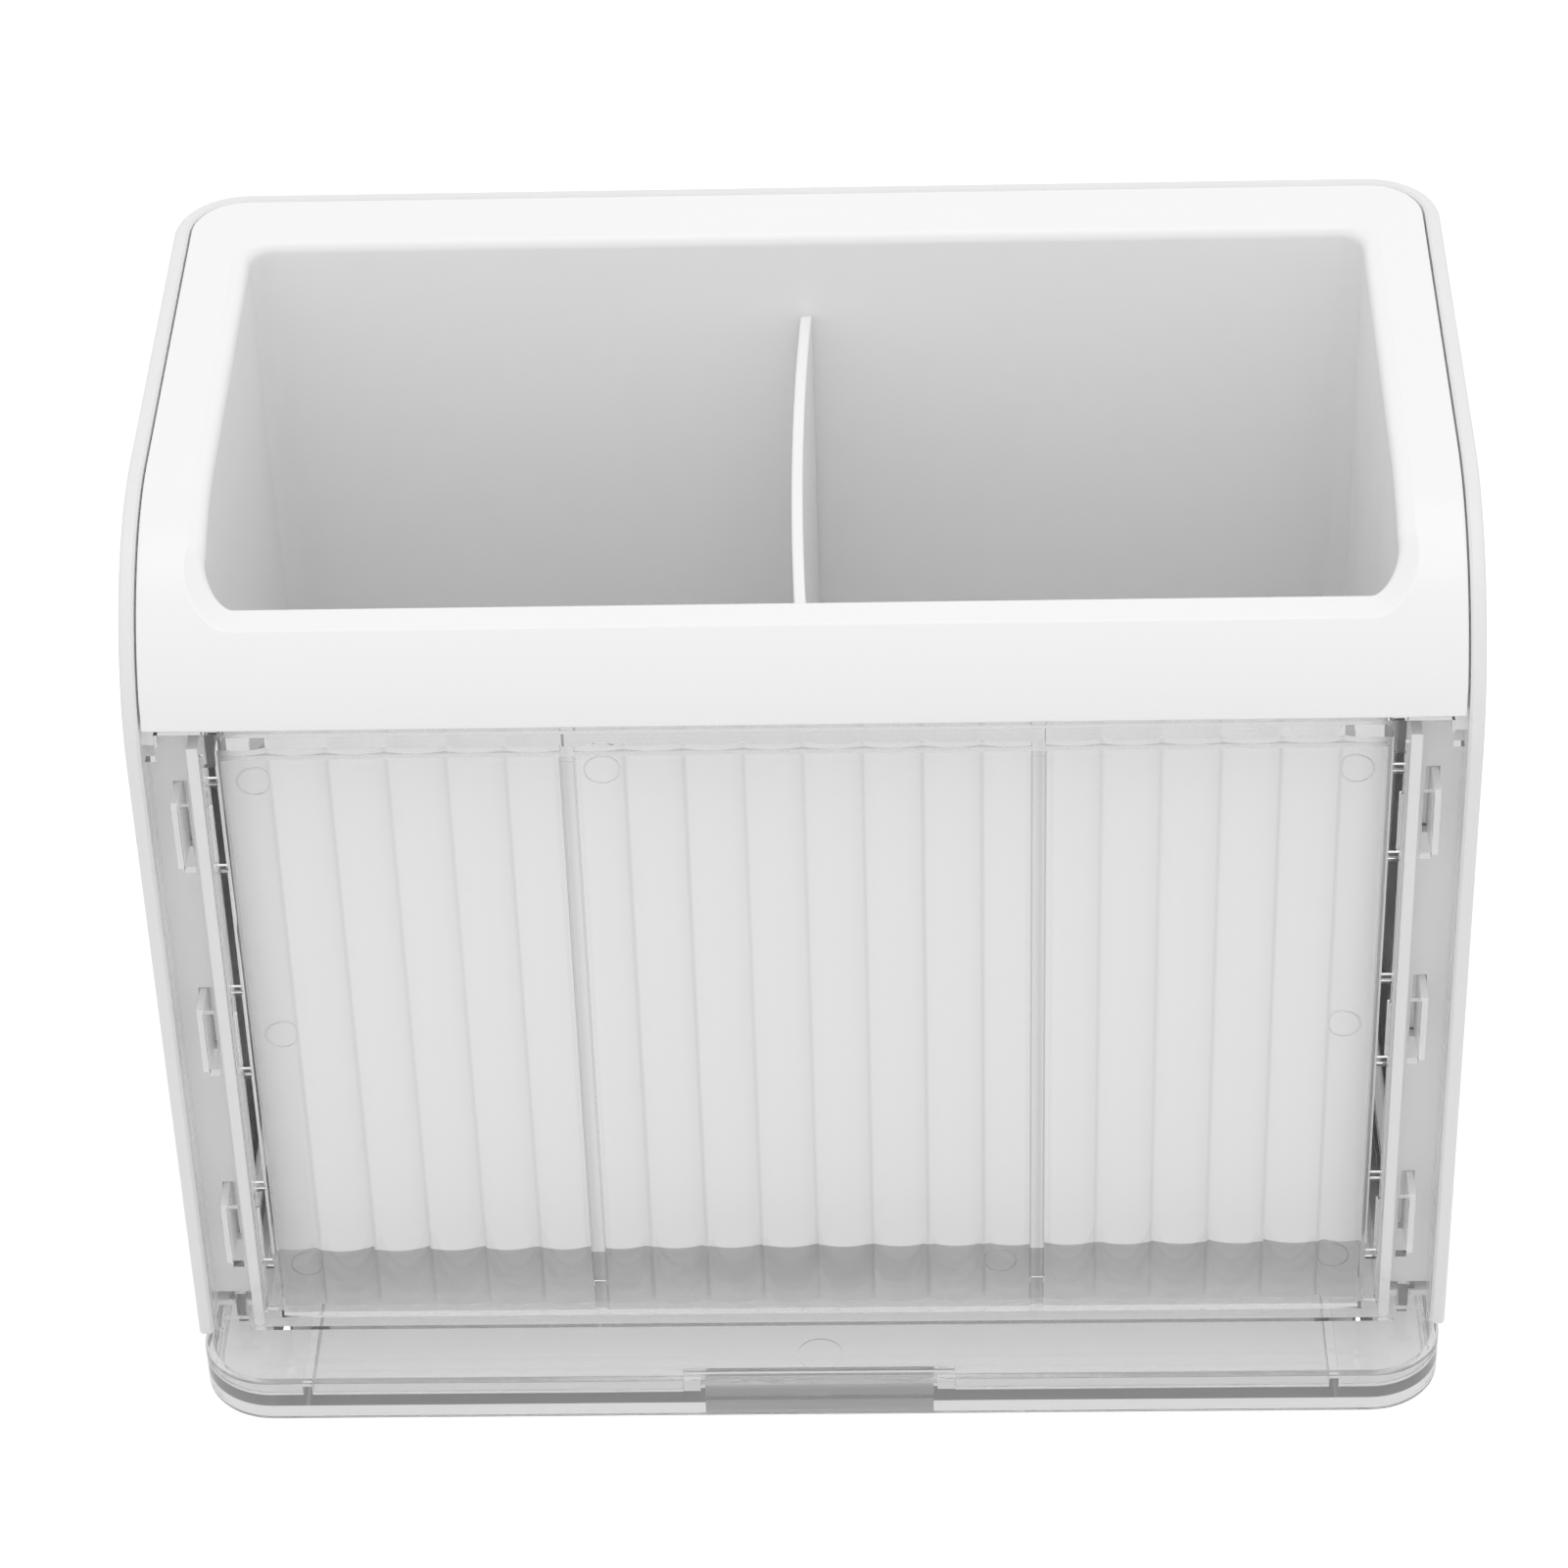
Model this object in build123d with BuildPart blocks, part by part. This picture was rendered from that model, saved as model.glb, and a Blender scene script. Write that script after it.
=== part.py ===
from build123d import *
import os
from math import radians, tan

# Wall-mounted utensil holder, in millimetres.
# +Z is up, the front faces -Y, and the wall is at the +Y face.
# The origin is the centre of the footprint, on the surface the tray stands on.

# Overall sizes
holder_width = 240.0
body_depth = 124.0
tray_lip = 14.0
tray_height = 9.5

# Side profile of walls and bezel: upright front, round brow, gentle slope up to the wall
front_height = 134.0
brow_radius = 41.0
top_slope = 4.3
profile_limit = 240.0

# Housing
side_wall = 2.8
back_wall = 2.2
back_corner_radius = 13.0
wall_edge_round = 0.9
wall_edge_bevel = 0.5
wall_foot_bevel = 0.4
flange_width = 2.0
flange_depth = 8.3
flange_height = 137.0
flange_end_round = 0.95
web_thickness = 2.0
web_bottom = 3.6
web_height = 136.0
runner_wall_height = 8.0
ledge_reach = 2.8
ledge_thickness = 2.5
ledge_start = 137.5
screw_spacing = 160.0
screw_hole = 5.0
screw_height = 150.0
screw_pad = 13.0
screw_pad_height = 1.0

# Utensil bin
bezel_gap = 0.4
bezel_thickness = 2.6
bezel_front_drop = 141.7
bezel_edge_bevel = 0.5
opening_width = 210.0
opening_front = 14.7
opening_back = 107.5
opening_front_radius = 6.5
opening_back_radius = 4.5
opening_lip_round = 4.0
rim_root_round = 1.7
tub_wall = 2.0
tub_bottom_height = 8.6
tub_draft = 0.6
tub_floor = 2.0
tub_foot_bevel = 1.2
drain_length = 20.0
drain_width = 5.0
drain_corner = 1.5
drain_pitch_x = 30.0
drain_pitch_y = 26.0
drain_columns = 3
drain_rows = 3
guide_rib_width = 1.5
guide_rib_reach = 2.5
guide_rib_height = 76.0

# Divider
divider_thickness = 2.1
divider_bow = 1.1
divider_back_height = 163.7
divider_front_height = 157.0
divider_corner_radius = 2.5
divider_side_gap = 0.45
divider_end_gap = 0.5

# Front panel
panel_height = 141.3
panel_side_gap = 0.6
frame_front = 0.6
frame_thickness = 1.8
top_bar_height = 5.6
bottom_bar_height = 3.7
bar_shelf = 1.4
flute_pitch = 10.6
flute_depth = 1.2
flute_front = 3.0
pane_back = 6.2
pane_half_width = 103.2
slot_edge = 1.0
slot_width = 2.2
slot_margin = 1.5
locating_wall = 0.7
locating_wall_back = 3.4
stiffener_x = 41.8
stiffener_width = 2.7
stiffener_front = 1.2
stiffener_back = 5.2
end_block_width = 2.3
end_block_height = 6.5
end_block_front = 0.9
bridge_height = 1.2
lowest_bridge = 16.6
bridge_gap = 19.4
hook_pitch = 47.2
hook_count = 3
hook_height = 14.6
hook_arm = 1.3
hook_barb = 2.1
hook_catch = 0.85
hook_barb_depth = 2.2
hook_window_start = 109.8
bump_height = 12.6
bump_rise = 0.7
notch_width = 2.0
notch_height = 5.7
ejector_mark = 6.0
ejector_depth = 0.15
ejector_x = 98.4
ejector_heights = (13.5, 70.0, 128.0)
upper_ejector = (-36.0, 129.7)
lower_ejector = (34.9, 13.0)

# Drip tray
tray_inset = 1.2
tray_wall = 1.8
tray_front_radius = 14.0
tray_floor_height = 4.6
tray_floor = 2.0
tray_floor_bevel = 2.0
tray_edge_bevel = 0.5
tray_foot_bevel = 0.4
tray_rib_x = 98.0
tray_rib_width = 1.8
tray_rib_height = 2.9
tray_rib_length = 122.0
tray_gate_mark = 8.7
rail_x = 112.75
rail_stem = 2.0
rail_head_width = 4.5
rail_head_height = 1.3
rail_start = 9.0
rail_end_gap = 9.0
lip_height = 1.3
grip_width = 45.2
grip_cheek = 3.4
grip_backing = 1.8
grip_bevel_bottom = 4.5
grip_bevel_top = 8.0
grip_bevel_depth = 1.8

# Clearances
sliding_gap = 0.3
snap_gap = 0.25
seat_gap = 0.3

# How far a cutting shape runs past what it cuts, and the least upward tilt of a top face
overrun = 1.0
upward = 0.3

# Positions that follow from the sizes above
half_width = holder_width / 2
front = tray_lip - (body_depth + tray_lip) / 2
back = front + body_depth
base = tray_height
brow_height = base + front_height
inner_half = half_width - side_wall
inner_back = back - back_wall
inner_corner = back_corner_radius - side_wall
bezel_half = inner_half - bezel_gap
bezel_bottom = base + bezel_front_drop
panel_half = inner_half - panel_side_gap
panel_bottom = base + seat_gap
panel_top = base + panel_height
frame_back = front + frame_front + frame_thickness
pane_bottom = panel_bottom + bottom_bar_height - bar_shelf
pane_top = panel_top - top_bar_height + bar_shelf
slot_inner = pane_half_width + slot_edge
slot_outer = slot_inner + slot_width
flange_inner = slot_outer + locating_wall + snap_gap
flange_outer = flange_inner + flange_width
flange_front = frame_back + seat_gap
web_back = flange_front + flange_depth
web_front = web_back - web_thickness
hook_heights = [base + lowest_bridge + index * hook_pitch for index in range(hook_count)]
hook_window_end = hook_window_start + hook_barb
web_slot_start = hook_window_start + seat_gap + hook_catch
hook_tip = web_back + snap_gap + hook_barb_depth
opening_level = brow_height + brow_radius
tub_front = front + opening_front - tub_wall
tub_back = front + opening_back + tub_wall
tub_half = opening_width / 2 + tub_wall
tub_bottom = base + tub_bottom_height
collar_bottom = brow_height
tub_floor_top = tub_bottom + tub_floor
tray_half = half_width - tray_inset
tray_front = front - tray_lip
tray_back = back - seat_gap
tray_rim = base - seat_gap
rail_top = base + lip_height + sliding_gap + rail_head_height


def side_outline(inset, far=back):
    """Side view of everything behind and below the curved front and top."""
    with BuildSketch(Plane.YZ) as outline:
        with BuildLine():
            upright = Line((front + inset, 0), (front + inset, brow_height))
            brow = JernArc(upright @ 1, (0, 1), brow_radius - inset, top_slope - 90)
            run = far - (brow @ 1).X
            top = Line(brow @ 1, brow @ 1 + Vector(run, run * tan(radians(top_slope))))
            Polyline(top @ 1, (far, 0), upright @ 0)
        make_face()
    return outline.sketch


def plan_outline(z, half, near, far, near_radius, far_radius):
    """Rounded rectangle seen from above, with its own radius at front and back corners."""
    with BuildSketch(Plane.XY.offset(z)) as outline:
        with Locations((0, (near + far) / 2)):
            Rectangle(2 * half, far - near)
        if near_radius > 0:
            fillet(outline.vertices().group_by(Axis.Y)[0], near_radius)
        fillet(outline.vertices().group_by(Axis.Y)[-1], far_radius)
    return outline.sketch


def wall_lean(z):
    """How far the drafted tub walls have come in at height z, below the upright collar."""
    return max(collar_bottom - z, 0) * tan(radians(tub_draft))


def tub_block(z, inset, mode):
    """Tub shape from height z upwards: drafted walls, then an upright collar up to the rim."""
    outline = plan_outline(
        collar_bottom,
        tub_half - inset,
        tub_front + inset,
        tub_back - inset,
        opening_front_radius + tub_wall - inset,
        opening_back_radius + tub_wall - inset,
    )
    extrude(outline, profile_limit - collar_bottom, mode=mode)
    extrude(outline, -(collar_bottom - z), taper=tub_draft, mode=mode)


def around_opening(point):
    """Whether a point of the bezel's top lies on the rim of the opening."""
    across = abs(point.X) < opening_width / 2 + seat_gap
    along = opening_front - seat_gap < point.Y - front < opening_back + seat_gap
    return across and along


def beside_tub(point):
    """Whether a point under the bezel lies where the tub's outer walls meet it."""
    across = abs(point.X) < tub_half + seat_gap
    return across and tub_front - seat_gap < point.Y < tub_back + seat_gap


def across_bezel(edge):
    """Whether an edge only divides the brow from the slope behind it."""
    point = edge.center()
    return abs(point.X) < tub_wall and front + seat_gap < point.Y < back - brow_radius


def rim_edges(shell, outer):
    """Long edges of the wall's front and top rim, on its outside or on its inside."""
    rim = shell.faces().filter_by(lambda face: face.normal_at().Z > upward)
    rim = rim + shell.faces().group_by(Axis.Y)[0]
    edges = []
    for edge in [edge for face in rim for edge in face.edges()]:
        point = edge @ 0.5
        outside = abs(point.X) > inner_half + side_wall / 2 or point.Y > inner_back + back_wall / 2
        around_corner = point.Y > back - back_corner_radius and abs(point.X) < half_width
        if around_corner and edge.geom_type != GeomType.LINE:
            centre = Vector(half_width - back_corner_radius, back - back_corner_radius)
            reach = (Vector(abs(point.X), point.Y) - centre).length
            outside = reach > inner_corner + side_wall / 2
        if edge.length > side_wall + seat_gap and outside == outer:
            edges.append(edge)
    return edges


def block(x0, x1, y0, y1, z0, z1, mode=Mode.ADD):
    """Box between two corners, for ribs, windows and notches."""
    with Locations(((x0 + x1) / 2, (y0 + y1) / 2, (z0 + z1) / 2)):
        Box(abs(x1 - x0), abs(y1 - y0), abs(z1 - z0), mode=mode)


# Ledge that carries the bezel: a band under the brow and top, kept only beside the walls
with BuildPart() as bezel_ledge:
    ledge_drop = bezel_thickness + seat_gap
    extrude(side_outline(ledge_drop), inner_half, both=True)
    extrude(side_outline(ledge_drop + ledge_thickness), half_width, both=True, mode=Mode.SUBTRACT)
    extrude(
        plan_outline(base, inner_half - ledge_reach, front - overrun, inner_back - ledge_reach, 0,
                     inner_corner - ledge_reach),
        profile_limit,
        mode=Mode.SUBTRACT,
    )
    extrude(
        plan_outline(base + ledge_start, inner_half + side_wall / 2, front, inner_back + back_wall / 2,
                     0, inner_corner + side_wall / 2),
        profile_limit,
        mode=Mode.INTERSECT,
    )

# Runner walls with the lips that the tray's rail heads ride on, kept inside the wall's thickness
with BuildPart() as runners:
    for side in (-1, 1):
        block(side * flange_inner, side * flange_outer, web_front, back,
              base, base + runner_wall_height)
        block(side * flange_inner, side * (rail_x - rail_stem / 2 - sliding_gap),
              web_front, back, base, base + lip_height)
        block(side * (rail_x + rail_stem / 2 + sliding_gap), side * half_width,
              web_front, back, base, base + lip_height)
    extrude(
        plan_outline(base, inner_half + side_wall / 2, front, inner_back + back_wall / 2, 0,
                     inner_corner + back_wall / 2),
        profile_limit,
        mode=Mode.INTERSECT,
    )

# Housing: wrap-around wall cut to the side profile, then what is moulded inside it
with BuildPart() as housing:
    extrude(plan_outline(base, half_width, front, back, 0, back_corner_radius), profile_limit)
    extrude(
        plan_outline(base, inner_half, front - overrun, inner_back, 0, inner_corner),
        profile_limit,
        mode=Mode.SUBTRACT,
    )
    extrude(side_outline(0), half_width, both=True, mode=Mode.INTERSECT)
    foot_edges = housing.faces().sort_by(Axis.Z)[0].edges()
    chamfer([edge for edge in foot_edges if edge.length > side_wall + seat_gap], wall_foot_bevel)
    fillet(rim_edges(housing, True), wall_edge_round)
    chamfer(rim_edges(housing, False), wall_edge_bevel)
    add(bezel_ledge.part)
    add(runners.part)
    for side in (-1, 1):
        # Stiffening flange with a rounded lower end, and the web that ties it to the side wall
        with BuildSketch(Plane.XZ.offset(-flange_front)) as flange:
            with Locations((side * (flange_inner + flange_outer) / 2, panel_bottom + flange_height / 2)):
                Rectangle(flange_width, flange_height)
            fillet(flange.vertices().group_by(Axis.Y)[0], flange_end_round)
        extrude(amount=-flange_depth)
        block(side * flange_inner, side * (inner_half + side_wall / 2), web_front, web_back,
              base + web_bottom, base + web_height)
        # Slots in the web that the front panel's hooks snap through
        for z in hook_heights:
            block(side * web_slot_start, side * (hook_window_end + hook_arm + seat_gap),
                  web_front - overrun, web_back + overrun, z - seat_gap, z + hook_height + seat_gap,
                  mode=Mode.SUBTRACT)
    # Screw holes through the back wall, each on a raised pad, reached with the bin lifted out
    with BuildSketch(Plane.XZ.offset(-inner_back)):
        with Locations((0, base + screw_height)):
            with GridLocations(screw_spacing, 1, 2, 1):
                Circle(screw_pad / 2)
    extrude(amount=screw_pad_height)
    with BuildSketch(Plane.XZ.offset(-back)):
        with Locations((0, base + screw_height)):
            with GridLocations(screw_spacing, 1, 2, 1):
                Circle(screw_hole / 2)
    extrude(amount=back_wall + screw_pad_height, mode=Mode.SUBTRACT)

# Bezel plate between two side profiles, with rounded back corners
with BuildPart() as bezel:
    extrude(side_outline(0), bezel_half, both=True)
    extrude(side_outline(bezel_thickness), half_width, both=True, mode=Mode.SUBTRACT)
    extrude(
        plan_outline(bezel_bottom, bezel_half, front, inner_back - bezel_gap, 0,
                     inner_corner - bezel_gap),
        profile_limit,
        mode=Mode.INTERSECT,
    )
    bezel_faces = bezel.faces().filter_by(lambda face: face.normal_at().Z > upward)
    bezel_edges = [edge for face in bezel_faces for edge in face.edges()]
    chamfer([edge for edge in bezel_edges if not across_bezel(edge)], bezel_edge_bevel)

# Outline of one drain slot in the tub's floor
with BuildSketch() as drain:
    Rectangle(drain_length, drain_width)
    chamfer(drain.vertices(), drain_corner)

# Utensil bin: bezel, tapered tub under its opening, drained floor, guides for the divider
with BuildPart() as utensil_bin:
    tub_block(tub_bottom, 0, Mode.ADD)
    extrude(side_outline(0), half_width, both=True, mode=Mode.INTERSECT)
    chamfer(utensil_bin.faces().sort_by(Axis.Z)[0].edges(), tub_foot_bevel)
    add(bezel.part)
    under_faces = utensil_bin.faces().filter_by(
        lambda face: face.normal_at().Z < -upward and face.center().Z > bezel_bottom
    )
    fillet(
        [edge for face in under_faces for edge in face.edges() if beside_tub(edge.center())],
        rim_root_round,
    )
    tub_block(tub_floor_top, tub_wall, Mode.SUBTRACT)
    with BuildSketch(Plane.XY.offset(tub_floor_top)):
        for side in (-1, 1):
            with Locations((side * opening_width / 4, (tub_front + tub_back) / 2)):
                with GridLocations(drain_pitch_x, drain_pitch_y, drain_columns, drain_rows):
                    add(drain.sketch)
    extrude(amount=-2 * tub_floor, mode=Mode.SUBTRACT)
    rib_inner = divider_thickness / 2 + divider_side_gap
    rib_top = tub_floor_top + guide_rib_height
    floor_lean = wall_lean(tub_floor_top)
    rib_front = front + opening_front + wall_lean(rib_top) - tub_wall / 4
    rib_back = front + opening_back - wall_lean(rib_top) + tub_wall / 4
    for side in (-1, 1):
        block(side * rib_inner, side * (rib_inner + guide_rib_width), rib_front,
              front + opening_front + floor_lean + guide_rib_reach,
              tub_floor_top - tub_floor / 2, rib_top)
        block(side * rib_inner, side * (rib_inner + guide_rib_width),
              front + opening_back - floor_lean - guide_rib_reach, rib_back,
              tub_floor_top - tub_floor / 2, rib_top)
    top_faces = utensil_bin.faces().filter_by(
        lambda face: face.normal_at().Z > upward and face.center().Z > bezel_bottom
    )
    fillet(
        [edge for face in top_faces for edge in face.edges() if around_opening(edge.center())],
        opening_lip_round,
    )

# Divider: thin plate bowed in plan, cut to the outline between the tub's front and back walls
divider_bottom = tub_floor_top + seat_gap
divider_top_front = base + divider_front_height
divider_top_back = base + divider_back_height

with BuildPart() as divider:
    end_front = front + opening_front + divider_end_gap
    end_back = front + opening_back - divider_end_gap
    middle = (end_front + end_back) / 2
    half_thick = divider_thickness / 2
    with BuildSketch(Plane.XY.offset(divider_bottom)):
        with BuildLine():
            left = ThreePointArc((-half_thick, end_front), (-half_thick - divider_bow, middle),
                                 (-half_thick, end_back))
            right = ThreePointArc((half_thick, end_front), (half_thick - divider_bow, middle),
                                  (half_thick, end_back))
            Line(left @ 0, right @ 0)
            Line(left @ 1, right @ 1)
        make_face()
    extrude(amount=divider_top_back - divider_bottom)
    with BuildSketch(Plane.YZ) as divider_side:
        with BuildLine():
            Polyline(
                (end_front + wall_lean(divider_bottom), divider_bottom),
                (end_front + wall_lean(divider_top_front), divider_top_front),
                (end_back - wall_lean(divider_top_back), divider_top_back),
                (end_back - wall_lean(divider_bottom), divider_bottom),
                close=True,
            )
        make_face()
        fillet(divider_side.vertices(), divider_corner_radius)
    extrude(amount=opening_width / 2, both=True, mode=Mode.INTERSECT)

# Front panel: frame plate, reeded pane, slots with bridges, stiffening ribs, snap hooks
with BuildPart() as front_panel:
    block(-panel_half, panel_half, front + frame_front, frame_back, panel_bottom, panel_top)
    # Window behind which the pane sits, and the shelves and walls that join it to the frame
    block(-pane_half_width, pane_half_width, front, frame_back + overrun,
          panel_bottom + bottom_bar_height, panel_top - top_bar_height, mode=Mode.SUBTRACT)
    for z0, z1 in ((pane_bottom, panel_bottom + bottom_bar_height),
                   (panel_top - top_bar_height, pane_top)):
        block(-slot_inner, slot_inner, front + frame_front, front + pane_back, z0, z1)
    # Reeded pane: convex flutes in front, flat behind
    flutes = int(pane_half_width / flute_pitch) + 1
    with BuildSketch(Plane.XY.offset(pane_bottom)):
        with BuildLine():
            valley = front + flute_front + flute_depth
            crest = front + flute_front
            for index in range(-flutes, flutes):
                ThreePointArc(
                    (index * flute_pitch, valley),
                    ((index + 0.5) * flute_pitch, crest),
                    ((index + 1) * flute_pitch, valley),
                )
            reach = flutes * flute_pitch
            Polyline((reach, valley), (reach, front + pane_back), (-reach, front + pane_back),
                     (-reach, valley))
        make_face()
        with Locations((0, front + pane_back / 2)):
            Rectangle(2 * (pane_half_width + slot_edge / 2), 2 * pane_back, mode=Mode.INTERSECT)
    extrude(amount=pane_top - pane_bottom)
    slot_low = panel_bottom + bottom_bar_height + slot_margin
    slot_high = panel_top - top_bar_height - slot_margin
    for side in (-1, 1):
        # Walls on both sides of the slot, then the slot and the bridges across it
        block(side * pane_half_width, side * slot_inner, front + frame_front, front + pane_back,
              pane_bottom, pane_top)
        block(side * slot_outer, side * (slot_outer + locating_wall), front + frame_front,
              front + locating_wall_back, slot_low - slot_margin, slot_high + slot_margin)
        block(side * slot_inner, side * slot_outer, front, frame_back + overrun, slot_low, slot_high,
              mode=Mode.SUBTRACT)
        for z in hook_heights:
            for centre in (z, z + bridge_gap):
                block(side * (slot_inner - slot_edge / 2), side * (slot_outer + locating_wall / 2),
                      front + frame_front, frame_back,
                      centre - bridge_height / 2, centre + bridge_height / 2)
            # Raised strip beside the hook that steadies the panel against the slot's edge
            block(side * (slot_outer - bump_rise), side * (slot_outer + locating_wall / 2),
                  front + frame_front + bump_rise, frame_back,
                  z + bridge_height, z + bridge_height + bump_height)
        # Stiffening rib beside a flute valley, with a narrower tongue at each end
        rib_low = panel_bottom + bottom_bar_height + end_block_height
        rib_high = panel_top - top_bar_height
        block(side * stiffener_x - stiffener_width / 2, side * stiffener_x + stiffener_width / 2,
              front + stiffener_front, front + stiffener_back, rib_low, rib_high - bar_shelf / 2)
        for z0, z1 in ((panel_bottom + bottom_bar_height - bar_shelf / 2, rib_low + bar_shelf),
                       (rib_high - bar_shelf, rib_high + bar_shelf / 2)):
            block(side * stiffener_x - end_block_width / 2, side * stiffener_x + end_block_width / 2,
                  front + end_block_front, front + stiffener_back, z0, z1)
        # Snap hooks: arm behind the plate, barb with a lead-in, and the window over the barb
        for z in hook_heights:
            with BuildSketch(Plane.XY.offset(z)):
                with BuildLine():
                    catch = web_back + snap_gap
                    Polyline(
                        (side * hook_window_end, frame_back - frame_thickness / 2),
                        (side * hook_window_end, catch),
                        (side * (hook_window_start + seat_gap), catch),
                        (side * (hook_window_end - seat_gap), hook_tip),
                        (side * (hook_window_end + hook_arm), hook_tip),
                        (side * (hook_window_end + hook_arm), frame_back - frame_thickness / 2),
                        close=True,
                    )
                make_face()
            extrude(amount=hook_height)
            block(side * hook_window_start, side * hook_window_end, front, frame_back + overrun,
                  z, z + hook_height, mode=Mode.SUBTRACT)
        # Top corner notch, and the cut-out that the tray's rail slides through
        block(side * (panel_half - notch_width), side * (panel_half + overrun), front,
              frame_back + overrun, panel_top - notch_height, panel_top + overrun,
              mode=Mode.SUBTRACT)
        block(side * (rail_x - rail_head_width / 2 - sliding_gap),
              side * (rail_x + rail_head_width / 2 + sliding_gap),
              front, frame_back + overrun, panel_bottom - overrun, rail_top + sliding_gap,
              mode=Mode.SUBTRACT)
    # Round ejector marks on the back of the pane
    spots = [(side * ejector_x, height) for side in (-1, 1) for height in ejector_heights]
    with BuildSketch(Plane.XZ.offset(-front - pane_back)):
        for x, height in spots + [upper_ejector, lower_ejector]:
            with Locations((x, base + height)):
                Circle(ejector_mark / 2)
    extrude(amount=ejector_depth, mode=Mode.SUBTRACT)

# Drip tray: shallow tray with a raised floor, finger grip, guide ribs and two hanging rails
with BuildPart() as drip_tray:
    extrude(plan_outline(0, tray_half, tray_front, tray_back, tray_front_radius,
                         tray_front_radius), tray_rim)
    chamfer(drip_tray.faces().sort_by(Axis.Z)[0].edges(), tray_foot_bevel)
    chamfer(drip_tray.faces().sort_by(Axis.Z)[-1].edges(), tray_edge_bevel)
    inner_radius = tray_front_radius - tray_wall
    for z0, z1 in ((tray_floor_height, tray_height),
                   (-tray_floor, tray_floor_height - tray_floor)):
        extrude(
            plan_outline(z0, tray_half - tray_wall, tray_front + tray_wall, tray_back - tray_wall,
                         inner_radius, inner_radius),
            z1 - z0,
            mode=Mode.SUBTRACT,
        )
    # Bevel where the walls rise from the floor
    floor_face = [face for face in drip_tray.faces().filter_by(Axis.Z)
                  if abs(face.center().Z - tray_floor_height) < sliding_gap]
    chamfer(floor_face[0].edges(), tray_floor_bevel)
    # Thicker wall behind the finger grip, then the sloping grip face between its two cheeks
    grip_reach = grip_width / 2 + grip_cheek
    block(-grip_reach, grip_reach, tray_front + tray_wall / 2,
          tray_front + tray_wall + grip_backing, tray_floor_height - tray_floor, tray_rim)
    with BuildSketch(Plane.YZ):
        with BuildLine():
            Polyline(
                (tray_front - overrun, grip_bevel_bottom),
                (tray_front, grip_bevel_bottom),
                (tray_front + grip_bevel_depth, grip_bevel_top),
                (tray_front - overrun, grip_bevel_top),
                close=True,
            )
        make_face()
    extrude(amount=grip_width / 2, both=True, mode=Mode.SUBTRACT)
    for side in (-1, 1):
        block(side * (tray_rib_x - tray_rib_width / 2), side * (tray_rib_x + tray_rib_width / 2),
              tray_front + tray_wall / 2, tray_front + tray_rib_length,
              tray_floor_height - tray_floor / 2, tray_floor_height + tray_rib_height)
        # Rail: upright stem with a wider head
        block(side * (rail_x - rail_stem / 2), side * (rail_x + rail_stem / 2),
              front + rail_start, back - rail_end_gap,
              tray_floor_height - tray_floor / 2, rail_top)
        block(side * (rail_x - rail_head_width / 2), side * (rail_x + rail_head_width / 2),
              front + rail_start, back - rail_end_gap,
              rail_top - rail_head_height, rail_top)
    with BuildSketch(Plane.XY.offset(tray_floor_height)):
        with Locations((0, front - grip_backing)):
            Circle(tray_gate_mark / 2)
    extrude(amount=-ejector_depth, mode=Mode.SUBTRACT)

parts = {
    "housing": housing,
    "utensil_bin": utensil_bin,
    "divider": divider,
    "front_panel": front_panel,
    "drip_tray": drip_tray,
}

os.makedirs("parts", exist_ok=True)
for name, piece in parts.items():
    piece.part.label = name
    export_step(piece.part, f"parts/{name}.step")
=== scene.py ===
import bpy
import bmesh
import math
from mathutils import Matrix, Quaternion, Vector


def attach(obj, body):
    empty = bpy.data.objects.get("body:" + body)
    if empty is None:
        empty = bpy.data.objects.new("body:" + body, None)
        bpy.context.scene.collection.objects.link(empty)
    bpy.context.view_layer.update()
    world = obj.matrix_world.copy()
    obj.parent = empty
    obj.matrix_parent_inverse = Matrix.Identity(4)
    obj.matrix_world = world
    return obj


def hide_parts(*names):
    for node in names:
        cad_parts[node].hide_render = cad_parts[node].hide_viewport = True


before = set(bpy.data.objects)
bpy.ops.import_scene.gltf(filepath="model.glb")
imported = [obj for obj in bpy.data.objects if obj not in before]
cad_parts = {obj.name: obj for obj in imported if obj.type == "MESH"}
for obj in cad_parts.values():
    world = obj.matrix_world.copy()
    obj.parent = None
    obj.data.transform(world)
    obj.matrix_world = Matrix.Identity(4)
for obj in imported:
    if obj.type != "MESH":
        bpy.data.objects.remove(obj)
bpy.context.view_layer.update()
print("frame loaded")


# camera, placed as the photograph's was
cameraLook = {
    "place": (0.022506, -0.757914, 0.647338),  # metres
    "down": 0.62571,  # radians below level
    "turn": 0.03679,  # to the left of straight ahead
    "roll": 0.03332,
    "lens": 112.43,
    "sensor": 36,
    "nearest": 0.01,
}


def placeCamera():
    turn, down, roll = (cameraLook[key] for key in ("turn", "down", "roll"))
    ahead = Vector((-math.sin(turn) * math.cos(down), math.cos(turn) * math.cos(down), -math.sin(down)))
    level = Vector((math.cos(turn), math.sin(turn), 0))
    upright = Vector((-math.sin(turn) * math.sin(down), math.cos(turn) * math.sin(down), math.cos(down)))
    right = math.cos(roll) * level - math.sin(roll) * upright
    up = math.sin(roll) * level + math.cos(roll) * upright
    lens = bpy.data.cameras.new("photoCamera")
    lens.sensor_width = cameraLook["sensor"]
    lens.lens = cameraLook["lens"]
    lens.clip_start = cameraLook["nearest"]
    camera = bpy.data.objects.new("photoCamera", lens)
    facing = Matrix((right, up, -ahead)).transposed().to_4x4()
    camera.matrix_world = Matrix.Translation(Vector(cameraLook["place"])) @ facing
    bpy.context.collection.objects.link(camera)
    bpy.context.scene.camera = camera


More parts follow.
